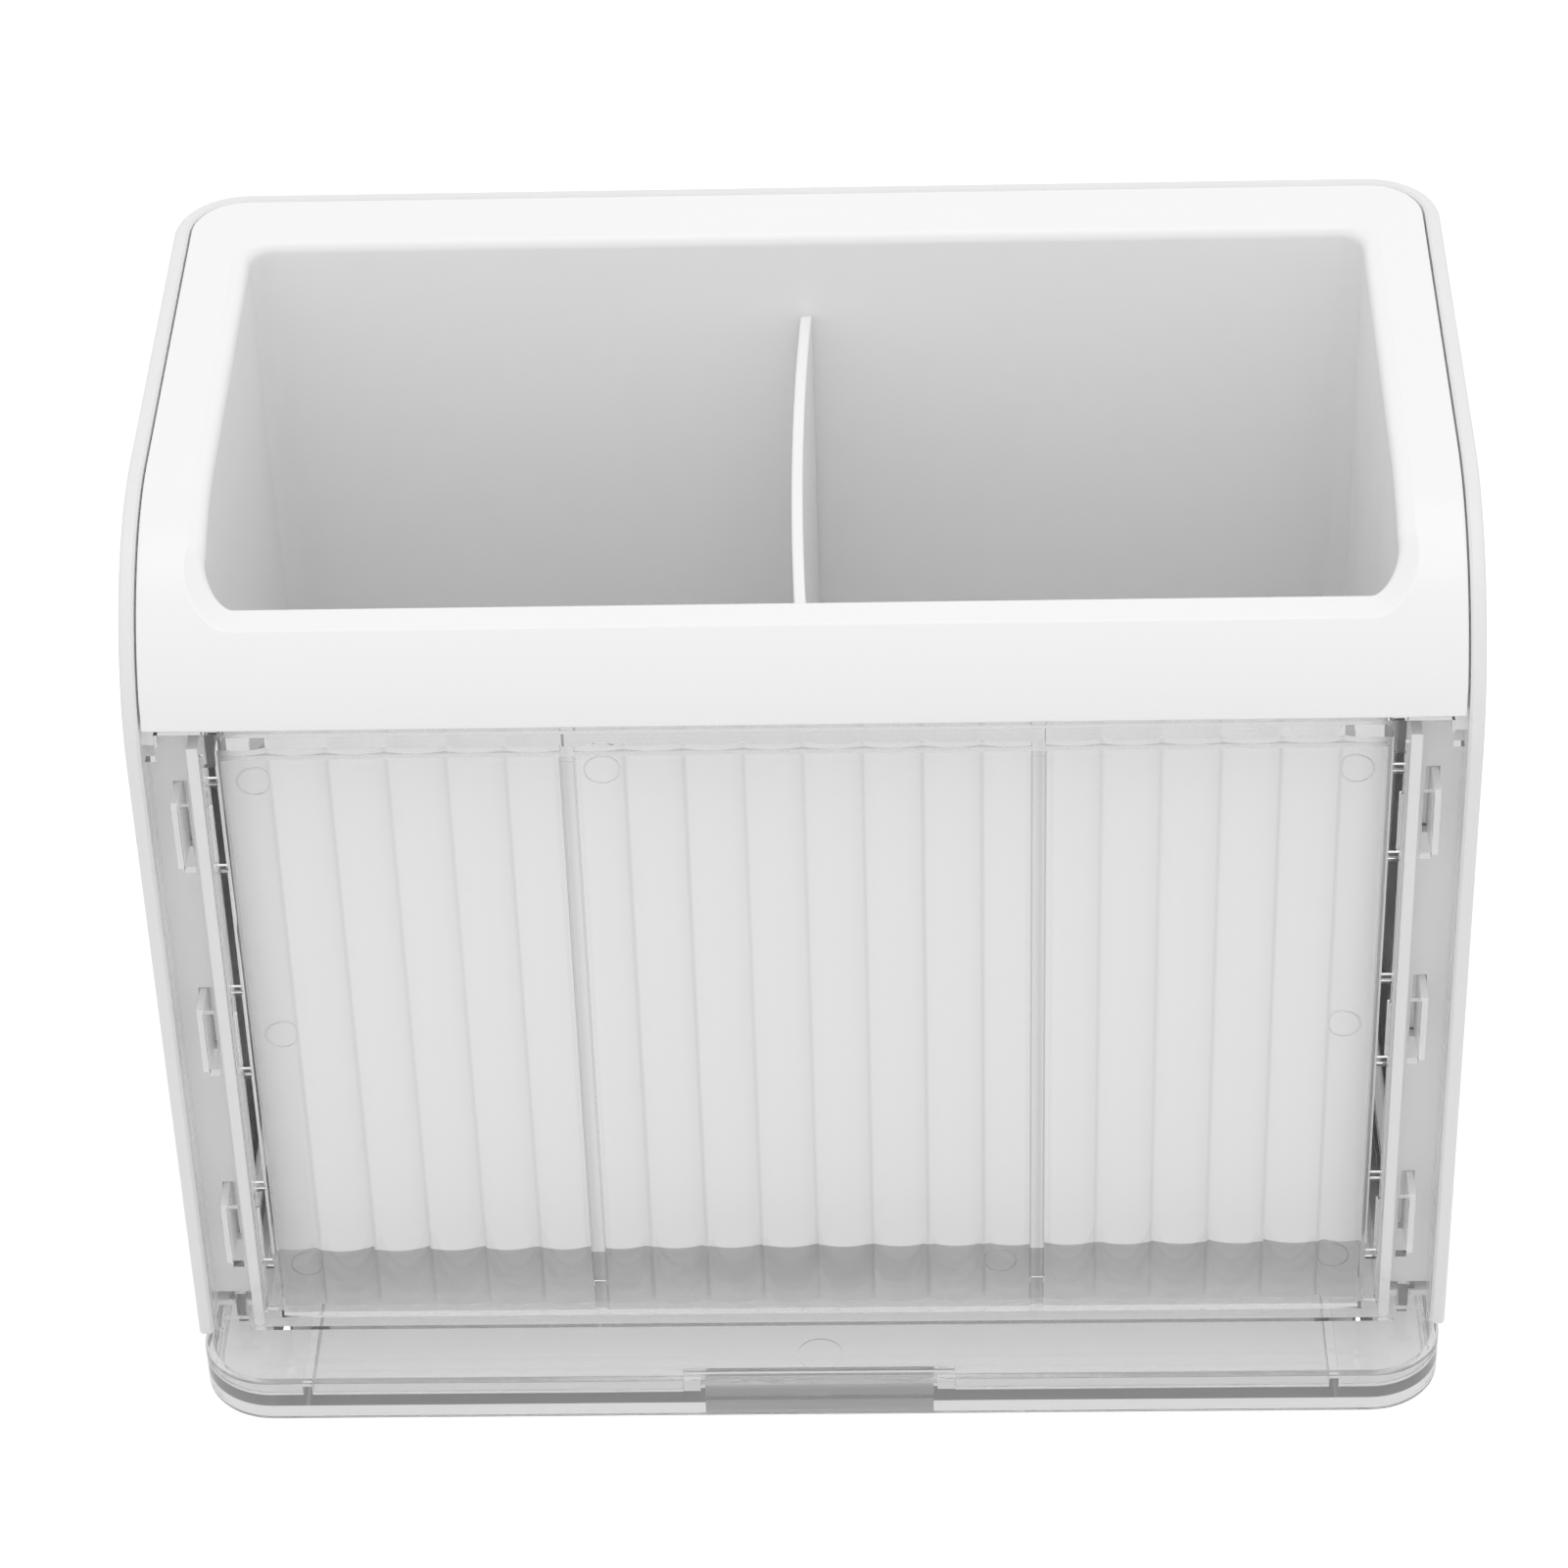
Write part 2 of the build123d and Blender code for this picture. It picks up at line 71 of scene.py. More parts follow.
placeCamera()
bpy.context.scene.view_settings.view_transform = "Standard"
print("camera placed")


class Value:  # a node socket that takes part in sums
    def __init__(self, board, socket):
        self.board = board
        self.socket = socket

    def sum(self, operation, first, second):
        node = self.board.put("ShaderNodeMath", {"operation": operation}, {0: first, 1: second})
        return Value(self.board, node.outputs[0])

    def __add__(self, other):
        return self.sum("ADD", self, other)

    def __sub__(self, other):
        return self.sum("SUBTRACT", self, other)

    def __rsub__(self, other):
        return self.sum("SUBTRACT", other, self)

    def __mul__(self, other):
        return self.sum("MULTIPLY", self, other)

    def __truediv__(self, other):
        return self.sum("DIVIDE", self, other)

    def __gt__(self, other):
        return self.sum("GREATER_THAN", self, other)

    def fraction(self):
        return self.sum("FRACT", self, 0)

    def size(self):
        return self.sum("ABSOLUTE", self, 0)

    __radd__ = __add__
    __rmul__ = __mul__


class Board:  # the node tree of a material, of the world or of a growing rule
    def __init__(self, owner):
        if isinstance(owner, bpy.types.NodeTree):
            self.tree = owner
        else:
            owner.use_nodes = True
            self.tree = owner.node_tree
        self.tree.nodes.clear()

    def put(self, kind, settings=None, sockets=None):
        node = self.tree.nodes.new(kind)
        for key, setting in (settings or {}).items():
            if key == "stops":
                for index, (place, shade) in enumerate(setting):
                    stops = node.color_ramp.elements
                    stop = stops[index] if index < len(stops) else stops.new(place)
                    stop.position = place
                    stop.color = grey(shade)
            else:
                setattr(node, key, setting)
        for key, value in (sockets or {}).items():
            socket = node.inputs[key]
            for source in value if isinstance(value, list) else [value]:
                if isinstance(source, Value):
                    source = source.socket
                if isinstance(source, bpy.types.NodeSocket):
                    self.tree.links.new(source, socket)
                else:
                    socket.default_value = source
        return node

    def value(self, node, output=0):
        return Value(self, node.outputs[output])


def grey(shade):
    return (shade, shade, shade, 1)


def blend(board, share, first, second, kind="MIX"):  # one colour out of two
    settings = {"data_type": "RGBA", "blend_type": kind}
    return board.put("ShaderNodeMix", settings, {0: share, 6: first, 7: second}).outputs[2]


def rectangle(low, high):  # its four corners in plan
    return [(low[0], low[1]), (high[0], low[1]), (high[0], high[1]), (low[0], high[1])]


# plain studio: a pale floor, an even white surround and two broad soft lamps
studioLook = {
    "surround": 0.82,
    "floorShade": 0.8,
    "floorGlow": 0.48,
    "floorGlowThrough": 0.27,  # as the clear pieces show it
    "floorSize": 6.0,
    "floorLevel": -0.0004,
    "lampAim": (0.0, 0.0, 0.1),
}
lampLook = {  # place, size and strength
    "topLamp": ((0.1, -0.35, 1.5), 1.1, 2.9),
    "frontLamp": ((-0.9, -1.5, 0.9), 1.2, 0.3),
}


def lightSurround():
    world = bpy.data.worlds.new("whiteSurround")
    bpy.context.scene.world = world
    board = Board(world)
    rays = board.put("ShaderNodeLightPath")
    seen = board.value(rays, "Is Camera Ray") + board.value(rays, "Is Glossy Ray")
    seen = seen + board.value(rays, "Is Transmission Ray") > 0.5
    strength = studioLook["surround"] + seen * (1 - studioLook["surround"])
    glow = board.put("ShaderNodeBackground", None, {"Color": grey(1), "Strength": strength})
    board.put("ShaderNodeOutputWorld", None, {"Surface": glow.outputs[0]})


def hangLamps():
    aim = Vector(studioLook["lampAim"])
    for name, (place, size, strength) in lampLook.items():
        lamp = bpy.data.lights.new(name, "AREA")
        lamp.shape = "DISK"
        lamp.size = size
        lamp.energy = strength
        holder = bpy.data.objects.new(name, lamp)
        holder.location = place
        holder.rotation_euler = (aim - Vector(place)).to_track_quat("-Z", "Y").to_euler()
        bpy.context.collection.objects.link(holder)


def layFloor():
    half, level = studioLook["floorSize"] / 2, studioLook["floorLevel"]
    mesh = bpy.data.meshes.new("floor")
    corners = [(x, y, level) for x, y in rectangle((-half, -half), (half, half))]
    mesh.from_pydata(corners, [], [(0, 1, 2, 3)])
    floor = bpy.data.objects.new("floor", mesh)
    bpy.context.collection.objects.link(floor)
    paint = bpy.data.materials.new("floorPaint")
    board = Board(paint)
    matte = board.put("ShaderNodeBsdfDiffuse", None, {"Color": grey(studioLook["floorShade"])})
    rays = board.put("ShaderNodeLightPath")
    through = board.value(rays, "Is Glossy Ray") + board.value(rays, "Is Transmission Ray") > 0.5
    strength = board.value(rays, "Is Camera Ray") * studioLook["floorGlow"]
    strength = strength + through * studioLook["floorGlowThrough"]
    glow = board.put("ShaderNodeEmission", None, {"Strength": strength})
    both = board.put("ShaderNodeAddShader", None, {0: matte.outputs[0], 1: glow.outputs[0]})
    board.put("ShaderNodeOutputMaterial", None, {"Surface": both.outputs[0]})
    mesh.materials.append(paint)


lightSurround()
hangLamps()
layFloor()
print("studio lit")


# white moulded plastic: soft gloss, a trace of mottle and the faint waviness of a moulded skin
whiteLook = {
    "shellWhite": {"shade": 0.965, "rough": 0.32, "seed": 1.0, "leak": 0.12},
    "binWhite": {"shade": 0.985, "rough": 0.21, "seed": 5.0, "leak": 0.01},
    "dividerWhite": {"shade": 0.985, "rough": 0.3, "seed": 9.0, "leak": 0.02},
}
whiteSkin = {
    "mottle": (45, 3), "waves": (90, 1),  # scale and detail
    "darker": (0.006, 0.006, 0.005), "lighter": (0.004, 0.004, 0.003), "roughSpread": 0.05,
    "waveHeight": 0.00001, "waveStrength": 0.08, "bending": 1.45,
}


def startPaint(name, seed, skin):  # a paint's own noise and its wavy skin
    paint = bpy.data.materials.new(name)
    board = Board(paint)
    place = board.put("ShaderNodeTexCoord").outputs["Object"]
    shifted = board.put("ShaderNodeMapping", None, {"Vector": place, "Location": (seed, 0, 0)}).outputs[0]
    mottle, waves = (
        board.value(board.put("ShaderNodeTexNoise", None, {"Vector": shifted, "Scale": scale, "Detail": detail}))
        for scale, detail in (skin["mottle"], skin["waves"])
    )
    bump = board.put("ShaderNodeBump", None, {
        "Height": waves, "Distance": skin["waveHeight"], "Strength": skin["waveStrength"],
    })
    return paint, board, mottle, bump.outputs[0]


def endPaint(board, share, first, second):  # its surface, mixed of two shaders
    both = board.put("ShaderNodeMixShader", None, {0: share, 1: first, 2: second})
    board.put("ShaderNodeOutputMaterial", None, {"Surface": both.outputs[0]})


def mixWhite(name):
    look, skin = whiteLook[name], whiteSkin
    paint, board, mottle, bump = startPaint(name, look["seed"], skin)
    darker = [look["shade"] - part for part in skin["darker"]]
    lighter = [look["shade"] + part for part in skin["lighter"]]
    colour = blend(board, mottle, (*darker, 1), (*lighter, 1))
    gloss = board.put("ShaderNodeBsdfPrincipled", None, {
        "Base Color": colour, "Roughness": look["rough"] + (mottle - 0.5) * skin["roughSpread"],
        "Normal": bump, "IOR": skin["bending"],
    })
    leak = board.put("ShaderNodeBsdfTranslucent", None, {"Color": colour})
    endPaint(board, look["leak"], gloss.outputs[0], leak.outputs[0])
    return paint


# clear moulded plastic: lets lamp light through, with polish that varies a little
clearLook = {  # veil: how much passes straight through; satin: shade and share of a matte skin
    "panelClear": {"shade": 0.988, "rough": 0.012, "veil": 0.992, "seed": 2.0, "paintedShade": True},
    "hookClear": {"shade": 0.98, "rough": 0.04, "veil": 0.96, "seed": 4.0, "satin": (0.97, 0.8)},
    # the tray's grey satin skin is a haze that is in part painted shade, greying the whole tray as the shade
    # under it would
    "trayClear": {"shade": 0.95, "rough": 0.02, "veil": 0.96, "seed": 7.0, "satin": (0.62, 0.15), "grip": True},
}
clearSkin = {
    "mottle": (60, 3), "waves": (150, 1), "roughSpread": 0.03, "waveHeight": 0.00002, "waveStrength": 0.12,
    "bending": 1.49, "satinRough": 0.4, "satinSpread": 0.1,
    "glossTurns": 2.5, "throughTurns": 7.5, "tiredShade": 0.72,  # past these a caught ray leaves straight on
}
ejectorMarks = {  # flat round marks on the pane's back, in millimetres; pairs stand on both sides
    "radius": 3.0, "depth": 0.15, "pairs": ((98.4, 23.0), (98.4, 79.5), (98.4, 137.5)),
    "odd": ((-36.0, 139.2), (34.9, 22.5)),
}
paneShadeLines = {  # painted shade: fine dark lines drawn in the pane's colour, in millimetres
    "pitch": 10.6, "half": 102.9, "low": 13.6, "high": 145.1, "ribPlace": 41.8, "ribReach": 2.0,
    "valley": ((0.0, 0.86), (0.025, 0.9), (0.06, 0.985), (0.3, 1.0), (0.72, 0.985), (0.93, 0.945), (0.975, 0.86)),
    "rib": ((0.0, 0.88), (0.3, 0.93), (0.5, 0.95), (0.56, 0.7), (0.69, 0.7), (0.73, 1.0)),
    "ringInner": 2.7, "ringOuter": 3.1, "ringShade": 0.74, "ringBehind": -49.3,
}
gripShadeLook = {  # painted shade: a dark satin patch with lighter bands on the tray's grip, in millimetres
    "half": 21.8, "front": -66.6, "low": 0.6, "high": 8.2, "shade": (0.36, 0.36, 0.365, 1), "share": 0.8,
    "rough": 0.3, "lineReach": 10,
    "lines": ((0.2, 1.0), (0.4, 1.0), (0.42, 0.25), (0.48, 0.25), (0.5, 1.0), (0.75, 1.0), (0.78, 0.3)),
}


def spotParts(board):  # across, towards the wall and up, in millimetres
    place = board.put("ShaderNodeTexCoord").outputs["Object"]
    spot = board.put("ShaderNodeSeparateXYZ", None, {0: place})
    return [board.value(spot, axis) * 1000 for axis in range(3)]


def shadeAlong(board, stops, spot):
    return board.put("ShaderNodeValToRGB", {"stops": stops}, {0: spot}).outputs[0]


def ringShadeMask(width, away, height):  # where thin rings of painted shade go round the ejector marks
    look = paneShadeLines
    ring = height * 0
    spots = [(away, place) for place in ejectorMarks["pairs"]] + [(width, place) for place in ejectorMarks["odd"]]
    for across, (x, z) in spots:
        aside, above = across - x, height - z
        off = aside * aside + above * above
        ring = ring + (off > look["ringInner"] ** 2) * (look["ringOuter"] ** 2 - off > 0)
    return ring


def paintPaneShade(board):  # painted shade: a soft dark line in each valley between two flutes, darker lines on the ribs, thin dark rings
    look = paneShadeLines
    width, back, height = spotParts(board)
    pane = (height > look["low"]) * (look["high"] - height > 0) * (look["half"] ** 2 - width * width > 0)
    away = width.size()
    valley = shadeAlong(board, look["valley"], (width / look["pitch"]).fraction())
    rib = shadeAlong(board, look["rib"], (away - look["ribPlace"]).size() / look["ribReach"])
    lines = blend(board, 1.0, valley, rib, "MULTIPLY")
    ring = ringShadeMask(width, away, height) * (back > look["ringBehind"])
    return blend(board, pane, grey(1), blend(board, ring, lines, grey(look["ringShade"])))


def laySatin(board, whole, shade, rough, share):  # a matte skin laid over part of what is there
    matte = board.put("ShaderNodeBsdfPrincipled", None, {"Base Color": shade, "Roughness": rough})
    return board.put("ShaderNodeMixShader", None, {0: share, 1: whole, 2: matte.outputs[0]}).outputs[0]


def gripShadeShare(board):  # how much of the grip's painted shade each spot of the tray takes
    look = gripShadeLook
    width, back, height = spotParts(board)
    patch = (look["half"] ** 2 - width * width > 0) * (look["front"] - back > 0)
    patch = patch * (height > look["low"]) * (look["high"] - height > 0)
    return patch * Value(board, shadeAlong(board, look["lines"], height / look["lineReach"])) * look["share"]


def mixClear(name):
    look, skin = clearLook[name], clearSkin
    paint, board, haze, bump = startPaint(name, look["seed"], skin)
    colour = grey(look["shade"])
    if "paintedShade" in look:
        # painted shade: the valley, rib and ring lines are multiplied into the pane's colour
        colour = blend(board, 1.0, colour, paintPaneShade(board), "MULTIPLY")
    whole = board.put("ShaderNodeBsdfPrincipled", None, {
        "Base Color": colour, "Roughness": look["rough"] + haze * skin["roughSpread"],
        "Normal": bump, "IOR": skin["bending"], "Transmission Weight": 1.0,
    }).outputs[0]
    spread = haze * skin["satinSpread"]
    # the grip's dark matte patch is painted shade
    if "grip" in look:
        whole = laySatin(board, whole, gripShadeLook["shade"], spread + gripShadeLook["rough"], gripShadeShare(board))
    if "satin" in look:
        shade, share = look["satin"]
        whole = laySatin(board, whole, grey(shade), spread + skin["satinRough"], share)
    rays = board.put("ShaderNodeLightPath")
    tired = board.value(rays, "Glossy Depth") > skin["glossTurns"]
    tired = tired + (board.value(rays, "Transmission Depth") > skin["throughTurns"]) > 0.5
    dim = blend(board, tired, grey(look["veil"]), grey(skin["tiredShade"]))
    bare = board.put("ShaderNodeBsdfTransparent", None, {"Color": dim})
    passing = board.value(rays, "Is Shadow Ray") + board.value(rays, "Is Diffuse Ray") + tired > 0.5
    endPaint(board, passing, whole, bare.outputs[0])
    return paint


finishes = {name: mixWhite(name) for name in whiteLook}
finishes.update({name: mixClear(name) for name in clearLook})
print("finishes mixed")


# mesh making: every size below is in millimetres, in the CAD's frame
def toMetres(point):
    return Vector(point) * 0.001


def newPiece(name, finish, points, faces):
    mesh = bpy.data.meshes.new(name)
    mesh.from_pydata([toMetres(point) for point in points], [], faces)
    piece = bpy.data.objects.new(name, mesh)
    bpy.context.collection.objects.link(piece)
    mesh.materials.append(finishes[finish])
    turnOutwards(piece)
    return piece


def turnOutwards(piece):
    shape = bmesh.new()
    shape.from_mesh(piece.data)
    bmesh.ops.remove_doubles(shape, verts=shape.verts, dist=1e-7)
    bmesh.ops.recalc_face_normals(shape, faces=shape.faces)
    shape.to_mesh(piece.data)
    shape.free()


def lidShell(rings):  # closed shell through rings of equally many points, with a lid on the first and last
    count = len(rings[0])
    points = [point for ring in rings for point in ring]
    faces = []
    for level in range(len(rings) - 1):
        for index in range(count):
            following = (index + 1) % count
            low, high = level * count, (level + 1) * count
            faces.append((low + index, low + following, high + following, high + index))
    faces.append(tuple(reversed(range(count))))
    faces.append(tuple(range(len(points) - count, len(points))))
    return points, faces


def makeBar(name, finish, low, high, soften=0.0):
    low, high = [min(pair) for pair in zip(low, high)], [max(pair) for pair in zip(low, high)]
    rings = [[(x, y, z) for x, y in rectangle(low, high)] for z in (low[2], high[2])]
    bar = newPiece(name, finish, *lidShell(rings))
    if soften:
        softenEdges(bar, soften)
    return bar


def prism(name, finish, outline, axis, low, high):  # outline runs in the two axes after the given one
    rings = []
    for level in (low, high):
        ring = []
        for first, second in outline:
            point = [0, 0, 0]
            point[axis] = level
            point[(axis + 1) % 3] = first
            point[(axis + 2) % 3] = second
            ring.append(tuple(point))
        rings.append(ring)
    return newPiece(name, finish, *lidShell(rings))


def roundedOutline(corners, radius, steps=6):
    outline = []
    count = len(corners)
    for index, corner in enumerate(corners):
        here = Vector(corner)
        before = (Vector(corners[index - 1]) - here).normalized()
        after = (Vector(corners[(index + 1) % count]) - here).normalized()
        half = before.angle(after) / 2
        middle = here + (before + after).normalized() * (radius / math.sin(half))
        start = here + before * (radius / math.tan(half)) - middle
        end = here + after * (radius / math.tan(half)) - middle
        for step in range(steps + 1):
            outline.append(tuple(middle + start.slerp(end, step / steps).normalized() * radius))
    return outline


def disc(name, finish, centre, radius, axis, low, high, steps=40):
    spots = [2 * math.pi * step / steps for step in range(steps)]
    outline = [(centre[0] + radius * math.cos(a), centre[1] + radius * math.sin(a)) for a in spots]
    return prism(name, finish, outline, axis, low, high)


def settle(piece):  # modifiers become plain mesh
    graph = bpy.context.evaluated_depsgraph_get()
    settled = bpy.data.meshes.new_from_object(piece.evaluated_get(graph), depsgraph=graph)
    piece.modifiers.clear()
    piece.data = settled
    return piece


def softenEdges(piece, width, steps=2, limit=35):
    bevel = piece.modifiers.new("softEdge", "BEVEL")
    bevel.width = width * 0.001
    bevel.segments = steps
    bevel.limit_method = "ANGLE"
    bevel.angle_limit = math.radians(limit)
    bevel.miter_outer = "MITER_ARC"
    bevel.use_clamp_overlap = True
    return settle(piece)


def combine(piece, others, operation):  # joins to the piece, or cuts from it, each of the others
    for other in others:
        step = piece.modifiers.new(operation.lower(), "BOOLEAN")
        step.operation = operation
        step.solver = "EXACT"
        step.object = other
    settle(piece)
    for other in others:
        bpy.data.objects.remove(other)
    return piece


def bundle(name, pieces):  # several closed shells of one moulding kept in one mesh
    shape = bmesh.new()
    used = []
    for piece in pieces:
        finish = piece.data.materials[0]
        if finish not in used:
            used.append(finish)
        for face in piece.data.polygons:
            face.material_index = used.index(finish)
        shape.from_mesh(piece.data)
    mesh = bpy.data.meshes.new(name)
    shape.to_mesh(mesh)
    shape.free()
    for finish in used:
        mesh.materials.append(finish)
    for piece in pieces:
        bpy.data.objects.remove(piece)
    whole = bpy.data.objects.new(name, mesh)
    bpy.context.collection.objects.link(whole)
    return whole


def smoothShade(piece, limit=30):  # broad faces stay flat up to their rounded edges
    for face in piece.data.polygons:
        face.use_smooth = True
    piece.data.set_sharp_from_angle(angle=math.radians(limit))
    even = piece.modifiers.new("evenNormals", "WEIGHTED_NORMAL")
    even.keep_sharp = True
    settle(piece)


# growing rules, in Geometry Nodes
def newRule(name, inputs):
    tree = bpy.data.node_groups.new(name, "GeometryNodeTree")
    for label, (kind, value) in inputs.items():
        socket = tree.interface.new_socket(label, in_out="INPUT", socket_type=kind)
        if value is not None:
            socket.default_value = value
    tree.interface.new_socket("Shape", in_out="OUTPUT", socket_type="NodeSocketGeometry")
    board = Board(tree)
    return board, board.put("NodeGroupInput")


def endRule(board, shape, finish):
    whole = board.put("GeometryNodeRealizeInstances", None, {0: shape})
    dressed = board.put("GeometryNodeSetMaterial", None, {0: whole.outputs[0], "Material": finishes[finish]})
    board.put("NodeGroupOutput", None, {0: dressed.outputs[0]})
    return board.tree


def growPiece(name, tree, values):
    piece = bpy.data.objects.new(name, bpy.data.meshes.new(name))
    bpy.context.collection.objects.link(piece)
    rule = piece.modifiers.new("rule", "NODES")
    rule.node_group = tree
    for item in tree.interface.items_tree:
        if item.item_type == "SOCKET" and item.in_out == "INPUT" and item.name in values:
            rule[item.identifier] = values[item.name]
    settle(piece)
    turnOutwards(piece)
    return piece


def fluteRule():  # upright sheet, ribbed in front and flat behind
    sizes = ("Half Width", "Low", "High", "Pitch", "Valley", "Depth", "Back")
    board, given = newRule("fluteRule", {
        **{label: ("NodeSocketFloat", 0.0) for label in sizes}, "Columns": ("NodeSocketInt", 1),
    })
    low, high = board.value(given, "Low"), board.value(given, "High")
    half, pitch = board.value(given, "Half Width"), board.value(given, "Pitch")
    grid = board.put("GeometryNodeMeshGrid", None, {
        "Size X": half * 2, "Size Y": high - low, "Vertices X": given.outputs["Columns"], "Vertices Y": 2,
    })
    spot = board.put("ShaderNodeSeparateXYZ", None, {0: board.put("GeometryNodeInputPosition").outputs[0]})
    across = board.value(spot, 0)
    within = (across / pitch).fraction()
    bulge = within * (1 - within) * 4
    front = board.value(given, "Valley") - bulge * board.value(given, "Depth")
    height = board.value(spot, 1) + (low + high) * 0.5
    place = board.put("ShaderNodeCombineXYZ", None, {0: across, 1: front, 2: height})
    sheet = board.put("GeometryNodeSetPosition", None, {0: grid.outputs[0], "Position": place.outputs[0]})
    thick = board.put("GeometryNodeExtrudeMesh", {"mode": "FACES"}, {
        0: sheet.outputs[0], "Offset": (0, 1, 0), "Offset Scale": 0.001, "Individual": False,
    })
    spot = board.put("ShaderNodeSeparateXYZ", None, {0: board.put("GeometryNodeInputPosition").outputs[0]})
    flat = board.put("ShaderNodeCombineXYZ", None, {
        0: board.value(spot, 0), 1: board.value(given, "Back"), 2: board.value(spot, 2),
    })
    solid = board.put("GeometryNodeSetPosition", None, {
        0: thick.outputs[0], "Selection": thick.outputs["Top"], "Position": flat.outputs[0],
    })
    face = board.put("GeometryNodeFlipFaces", None, {0: sheet.outputs[0]})
    both = board.put("GeometryNodeJoinGeometry", None, {0: [solid.outputs[0], face.outputs[0]]})
    welded = board.put("GeometryNodeMergeByDistance", None, {0: both.outputs[0], "Distance": 0.000001})
    return endRule(board, welded.outputs[0], "panelClear")


def rowRule(name, finish):  # copies of one shape in rows and columns
    board, given = newRule(name, {
        "Shape": ("NodeSocketObject", None), "Across": ("NodeSocketInt", 1), "Along": ("NodeSocketInt", 1),
        "Up": ("NodeSocketInt", 1), "Pitch": ("NodeSocketVector", (0.01, 0.01, 0.01)),
        "First": ("NodeSocketVector", (0, 0, 0)),
    })
    pitch = board.put("ShaderNodeSeparateXYZ", None, {0: given.outputs["Pitch"]})
    shape = board.put("GeometryNodeObjectInfo", {"transform_space": "ORIGINAL"}, {
        "Object": given.outputs["Shape"],
    })
    spread = shape.outputs["Geometry"]
    for axis, label in enumerate(("Across", "Along", "Up")):
        step = [0, 0, 0]
        step[axis] = board.value(pitch, axis)
        offset = board.put("ShaderNodeCombineXYZ", None, dict(enumerate(step)))
        line = board.put("GeometryNodeMeshLine", None, {
            "Count": given.outputs[label], "Start Location": (0, 0, 0), "Offset": offset.outputs[0],
        })
        copies = board.put("GeometryNodeInstanceOnPoints", None, {"Points": line.outputs[0], "Instance": spread})
        spread = board.put("GeometryNodeRealizeInstances", None, {0: copies.outputs[0]}).outputs[0]
    moved = board.put("GeometryNodeTransform", None, {0: spread, "Translation": given.outputs["First"]})
    return endRule(board, moved.outputs[0], finish)


def repeatShape(name, shape, tree, counts, pitch, first=(0, 0, 0)):
    grown = growPiece(name, tree, {
        "Shape": shape, "Across": counts[0], "Along": counts[1], "Up": counts[2],
        "Pitch": toMetres(pitch), "First": toMetres(first),
    })
    bpy.data.objects.remove(shape)
    return grown


whiteRow = rowRule("whiteRow", "binWhite")
print("rules ready")


# the curve that walls and bezel share, seen from the side
sideLook = {"front": -55.0, "browHeight": 143.5, "browRadius": 41.0, "slope": 4.3}
browEnd = math.radians(90 - sideLook["slope"])
slopeTurn = math.radians(sideLook["slope"])
browCentre = (sideLook["front"] + sideLook["browRadius"], sideLook["browHeight"])


def skyward(along):  # outward direction at a distance along the curve
    turn = min(along / sideLook["browRadius"], browEnd)
    return Vector((0, -math.cos(turn), math.sin(turn)))


def onSide(across, along, depth=0.0):  # point at a distance along the curve, below its surface
    radius = sideLook["browRadius"]
    turn = min(max(along / radius, 0), browEnd)
    run = max(along / radius - browEnd, 0) * radius
    drop = min(along, 0)
    y = browCentre[0] - radius * math.cos(turn) + run * math.cos(slopeTurn)
    z = browCentre[1] + radius * math.sin(turn) + run * math.sin(slopeTurn) + drop
    return Vector((across, y, z)) - skyward(max(along, 0)) * depth


def alongAt(y, depth=0.0):  # distance along the curve above a place in plan
    radius = sideLook["browRadius"] - depth
    if browCentre[0] - y > radius * math.cos(browEnd):
        return sideLook["browRadius"] * math.acos(min((browCentre[0] - y) / radius, 1))
    reach = y - onSide(0, sideLook["browRadius"] * browEnd, depth).y
    return sideLook["browRadius"] * browEnd + reach / math.cos(slopeTurn)


def arcBetween(centre, first, second, radius, steps):  # points from one direction round to another
    first, second = Vector(first).normalized(), Vector(second).normalized()
    return [centre + first.slerp(second, step / steps) * radius for step in range(steps + 1)]


# utensil bin: bezel with rolled lip, drafted tub, drained floor and guides for the divider
binLook = {
    "half": 116.8, "lowest": 151.2, "back": 66.4, "cornerRound": 9.8, "thick": 2.6, "edgeRound": 0.5,
    "openHalf": 105.0, "openFront": -40.3, "openBack": 52.5, "frontRound": 4.8, "backRound": 4.5,
    "sideLip": (2.5, 3.2, 20), "frontLip": (1.5, 6.26, 47),  # roll into the tub, width of the band, its tilt
    "creaseRound": 0.8, "rootRound": 1.7, "wall": 2.0, "collar": 143.5, "floorTop": 20.1, "bottom": 18.1,
    "draft": 0.6, "footBevel": 1.2, "floorRound": 0.8, "smooth": 32,
    "drain": (20.0, 5.0), "drainCorner": 1.5, "drainPitch": (30.0, 26.0), "drainCount": (3, 3),
    "guide": (1.5, 2.5, 76.0), "guideGap": 1.5, "guideInto": 1.6, "guideRound": 0.35,
    "steps": {  # of the mesh, round the opening and then up over each section
        "front": 6, "frontTurn": 4, "sideTurn": 14, "brow": 9, "slope": 5, "backTurn": 10, "back": 6,
        "floor": 3, "lip": 10, "crease": 4, "bezel": 8, "edge": 3, "under": 5, "root": 5,
    },
}


